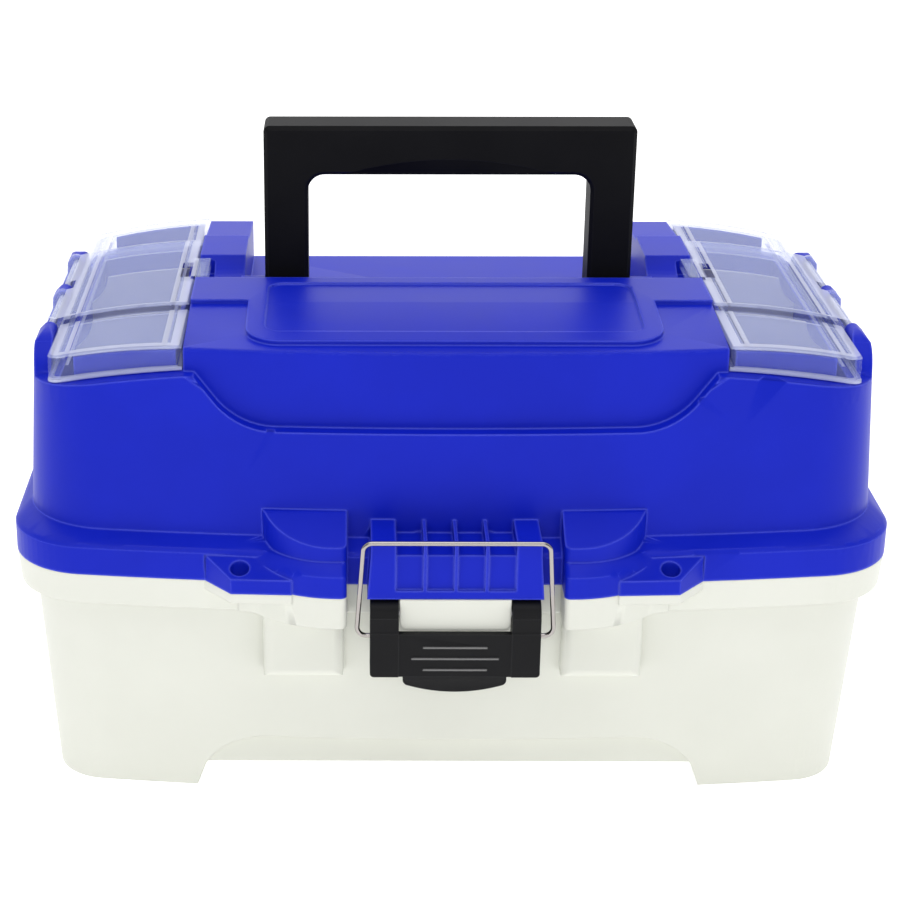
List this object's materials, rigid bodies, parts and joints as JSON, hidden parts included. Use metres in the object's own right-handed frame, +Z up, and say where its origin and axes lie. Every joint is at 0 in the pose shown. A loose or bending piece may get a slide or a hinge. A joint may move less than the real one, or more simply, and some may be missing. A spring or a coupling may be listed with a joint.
{
  "type": "fishing tackle box",
  "caption": "Lidded tackle box with two lift-out trays on parallel arms, side wells under hinged covers, a folding handle and a lever latch with a wire bail.",
  "frame": {"origin": "on the floor under the middle of the whole closed box, latch to hinges and side to side", "axes": "+X to the right seen from the front, +Y from the latch to the lid hinges, +Z up; the feet stand on z = 0"},
  "size_m": [0.3532, 0.2468, 0.257],
  "materials": {
    "tub_ivory": "satin",
    "lid_blue": "satin",
    "handle_black": "satin",
    "latch_black": "satin",
    "cover_frosted": "frosted, lets light through",
    "bail_steel": "polished",
    "pin_steel": "plain",
    "arm_steel": "plain",
    "tray_ivory": "satin",
    "divider_grey": "satin"
  },
  "bodies": {
    "base": {"tub_shell": "tub_ivory", "tub_feet": "tub_ivory", "tub_front_blocks": "tub_ivory", "tub_lugs": "tub_ivory", "latch_pin": "pin_steel", "lid_hinge_pins": "pin_steel", "link_pivot_pins": "pin_steel"},
    "lid": {"lid_shell": "lid_blue", "lid_lugs": "lid_blue", "handle_pins": "pin_steel", "cover_hinge_pins": "pin_steel", "tray_pivot_pins": "pin_steel", "well_dividers_right": "divider_grey", "well_dividers_left": "divider_grey"},
    "handle": {"handle": "handle_black"},
    "cover_right": {"cover_right": "cover_frosted"},
    "cover_left": {"cover_left": "cover_frosted"},
    "latch_lever": {"latch_lever": "latch_black"},
    "latch_bail": {"latch_bail": "bail_steel"},
    "tray_lower": {"tray_lower": "tray_ivory", "tray_lower_dividers": "divider_grey", "tray_lower_pegs": "pin_steel"},
    "tray_upper": {"tray_upper": "tray_ivory", "tray_upper_dividers": "divider_grey", "tray_upper_pegs": "pin_steel"},
    "link_arm_right": {"link_arm_right": "arm_steel"},
    "link_arm_left": {"link_arm_left": "arm_steel"}
  },
  "joints": [
    {"name": "lid_open", "type": "hinge", "parent": "base", "child": "lid", "pos_m": [0, 0.1195, 0.1], "axis": [-1, 0, 0], "range_deg": [0, 95]},
    {"name": "handle_fold", "type": "hinge", "parent": "lid", "child": "handle", "pos_m": [0, 0.0083, 0.1824], "axis": [-1, 0, 0], "range_deg": [0, 90]},
    {"name": "cover_right_open", "type": "hinge", "parent": "lid", "child": "cover_right", "pos_m": [0.1629, 0.0083, 0.1818], "axis": [0, 1, 0], "range_deg": [0, 150]},
    {"name": "cover_left_open", "type": "hinge", "parent": "lid", "child": "cover_left", "pos_m": [-0.1629, 0.0083, 0.1818], "axis": [0, -1, 0], "range_deg": [0, 150]},
    {"name": "latch_lever_turn", "type": "hinge", "parent": "base", "child": "latch_lever", "pos_m": [0, -0.1169, 0.0932], "axis": [-1, 0, 0], "range_deg": [0, 100]},
    {"name": "latch_bail_turn", "type": "hinge", "parent": "latch_lever", "child": "latch_bail", "pos_m": [0, -0.1189, 0.0844], "axis": [-1, 0, 0], "range_deg": [-130, 0]},
    {"name": "tray_lower_lift", "type": "hinge", "parent": "lid", "child": "tray_lower", "pos_m": [0, 0.0595, 0.106], "axis": [-1, 0, 0], "range_deg": [-95, 0]},
    {"name": "tray_upper_lift", "type": "hinge", "parent": "lid", "child": "tray_upper", "pos_m": [0, 0.0195, 0.116], "axis": [-1, 0, 0], "range_deg": [-95, 0]},
    {"name": "link_arm_right_turn", "type": "hinge", "parent": "base", "child": "link_arm_right", "pos_m": [0, 0.0615, 0.088], "axis": [-1, 0, 0], "range_deg": [0, 95]},
    {"name": "link_arm_left_turn", "type": "hinge", "parent": "base", "child": "link_arm_left", "pos_m": [0, 0.0615, 0.088], "axis": [-1, 0, 0], "range_deg": [0, 95]}
  ],
  "couplings": [
    {"joint": "latch_bail_turn", "follows": "latch_lever_turn", "ratio": -1.3},
    {"joint": "tray_lower_lift", "follows": "lid_open", "ratio": -1},
    {"joint": "tray_upper_lift", "follows": "lid_open", "ratio": -1},
    {"joint": "link_arm_right_turn", "follows": "lid_open", "ratio": 1},
    {"joint": "link_arm_left_turn", "follows": "lid_open", "ratio": 1}
  ]
}
